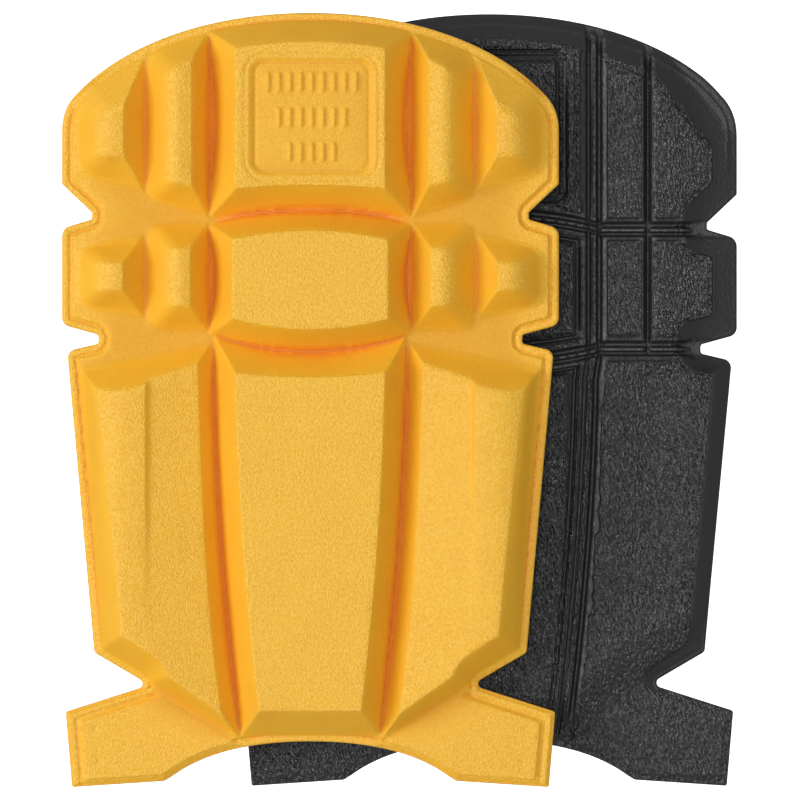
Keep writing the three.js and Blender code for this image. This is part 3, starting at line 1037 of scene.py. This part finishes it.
def cushion_foam():
    """Yellow closed-cell foam: a fine, glossy grain on level skin, smoother on slopes, with pale specks
    that are partly painted sheen, and painted shade in hollows, creases and sunk floors.
    """
    shader = Shader("cushion_foam", YELLOW, 0.5)
    rest = shader.attribute("rest", "Vector")
    level = shader.attribute("flatness")
    hollow = shader.attribute("hollow")
    framed = shader.spread(shader.attribute("skin"), 0, 1, 0.35, 0)
    sunk = shader.math("MAXIMUM", shader.attribute("sunk"), framed)
    crease = shader.attribute("crease")
    grain = shader.noise(rest, 1.7, 2.0, 0.6)
    speck = shader.noise(rest, 1.0, 2.0, 0.65)
    mottle = shader.noise(rest, 0.09, 2.0)
    body = shader.mix(shader.spread(mottle, 0.35, 0.7), YELLOW, AMBER)
    # Painted shade: level floors that lie below their surroundings, and the inside of the frame, go
    # towards a darker amber.
    sunk_shade = shader.math("MULTIPLY", level, shader.spread(sunk, 0.2, 0.6, 0.0, 0.5))
    body = shader.mix(sunk_shade, body, SUNK_SHADE_AMBER)
    # Painted shade: hollows and creases go towards a deeper orange, standing in for light bounced
    # between their walls.
    body = shader.mix(shader.spread(hollow, 0.6, 1.0, 0.0, 0.85), body, SHADE_ORANGE)
    body = shader.mix(shader.spread(crease, 0.5, 0.9, 0.0, 0.65), body, SHADE_ORANGE)
    # Painted shade: the bottoms of the sharpest creases go towards a dark red.
    body = shader.mix(shader.spread(crease, 0.88, 1.0, 0.0, 0.4), body, CREASE_SHADE_RED)
    open_skin = shader.math(
        "MULTIPLY", shader.spread(level, 0.1, 0.75), shader.spread(sunk, 0.05, 0.5, 1.0, 0.1)
    )
    # The pale specks are grain, but how strongly they show on level, open skin is painted sheen from
    # the light overhead.
    sheen_paleness = shader.spread(open_skin, 0, 1, 0.06, 0.55)
    skin = shader.math("MULTIPLY", shader.spread(speck, 0.38, 0.62, 0.1, 1.0), sheen_paleness)
    shader.bump(shader.math("MULTIPLY", grain, shader.spread(open_skin, 0, 1, 0.35, 1.0)), 0.5)
    return shader.finish(
        Base_Color=shader.mix(skin, body, PALE_GRAIN_AND_SHEEN),
        Roughness=shader.spread(open_skin, 0, 1, 0.7, 0.31),
    )


def shell_foam():
    """Black foam with a leathery, pebbled skin that is flatter and duller on slopes, with painted
    highlights on the pebbles' tops and along the thin ridges.
    """
    shader = Shader("shell_foam", BLACK, 0.45)
    rest = shader.attribute("rest", "Vector")
    level = shader.attribute("flatness")
    crease = shader.attribute("crease")
    hide = shader.turned(rest, -0.3, (1.35, 0.62, 1.0))
    pebble = shader.pebbles(hide, 1.0, 0.25)
    grain = shader.noise(hide, 1.3, 1.0, 0.5)
    open_skin = shader.math("MULTIPLY", shader.spread(level, 0.6, 0.9), shader.attribute("skin"))
    open_skin = shader.math("MULTIPLY", open_skin, shader.spread(crease, 0.3, 0.9, 1.0, 0.0))
    relief = shader.math("MULTIPLY_ADD", pebble, 0.6, grain)
    shader.bump(shader.math("MULTIPLY", relief, shader.spread(open_skin, 0, 1, 0.15, 1.0)), 0.85)
    # Painted highlight: the pebbles' tops on level, open skin go grey.
    pebble_highlight = shader.math("MULTIPLY", shader.spread(relief, 0.7, 1.1), open_skin)
    body = shader.mix(pebble_highlight, BLACK, PEBBLE_HIGHLIGHT_GREY)
    # Painted highlight: the thin ridges between grooves go grey where the pebbles stand up.
    ridge_highlight = shader.math(
        "MULTIPLY", shader.spread(shader.attribute("ridge"), 0.3, 0.9), shader.spread(relief, 0.6, 1.0)
    )
    return shader.finish(
        Specular_IOR_Level=0.6,
        Base_Color=shader.mix(ridge_highlight, body, RIDGE_HIGHLIGHT_GREY),
        Roughness=shader.spread(open_skin, 0, 1, 0.5, 0.26),
    )


# ---- Stage ----


def make_floor():
    """A plain white floor that glows for the camera alone and throws no light on the pads."""
    bpy.ops.mesh.primitive_plane_add(size=40, location=(0, 0, FLOOR_LEVEL))
    floor = bpy.context.object
    floor.name = "floor"
    shader = Shader("floor_white", (0.8, 0.8, 0.8), 1.0)
    floor.data.materials.append(shader.finish(Emission_Color=(1, 1, 1, 1), Emission_Strength=1.0))
    floor.visible_diffuse = False
    floor.visible_glossy = False


def make_softbox(name, place, size, strength):
    """A disk light facing the pads. A strength of 1 lights white paper that faces it to full white."""
    light = bpy.data.lights.new(name, "AREA")
    light.shape = "DISK"
    light.size = size
    lamp = bpy.data.objects.new(name, light)
    lamp.location = place
    light.energy = strength * math.pi**2 * lamp.location.length_squared
    lamp.rotation_euler = lamp.location.to_track_quat("Z", "Y").to_euler()
    bpy.context.collection.objects.link(lamp)


def make_lights():
    world = bpy.data.worlds.new("studio")
    world.use_nodes = True
    bpy.context.scene.world = world
    background = world.node_tree.nodes["Background"]
    background.inputs["Color"].default_value = (1, 1, 1, 1)
    background.inputs["Strength"].default_value = WORLD_LIGHT
    make_softbox("key", KEY_PLACE, KEY_SIZE, KEY_LIGHT)
    make_softbox("overhead", TOP_PLACE, TOP_SIZE, TOP_LIGHT)


def make_camera():
    """Straight above the pair, far enough away that hardly any side wall shows."""
    camera = bpy.data.cameras.new("camera")
    camera.lens = LENS
    camera.sensor_width = SENSOR_WIDTH
    holder = bpy.data.objects.new("camera", camera)
    holder.location = (0, 0, PAD_RIMS + VIEW_WIDTH * LENS / SENSOR_WIDTH)
    bpy.context.collection.objects.link(holder)
    bpy.context.scene.camera = holder


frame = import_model()
bpy.context.scene.view_settings.view_transform = "Standard"
make_camera()
make_lights()
make_floor()
make_pads(
    {
        "cushion": (layer_pieces(cushion_height, cushion_skin), 1, cushion_foam()),
        "shell": (layer_pieces(shell_height, shell_skin, shell_guides), -1, shell_foam()),
    }
)
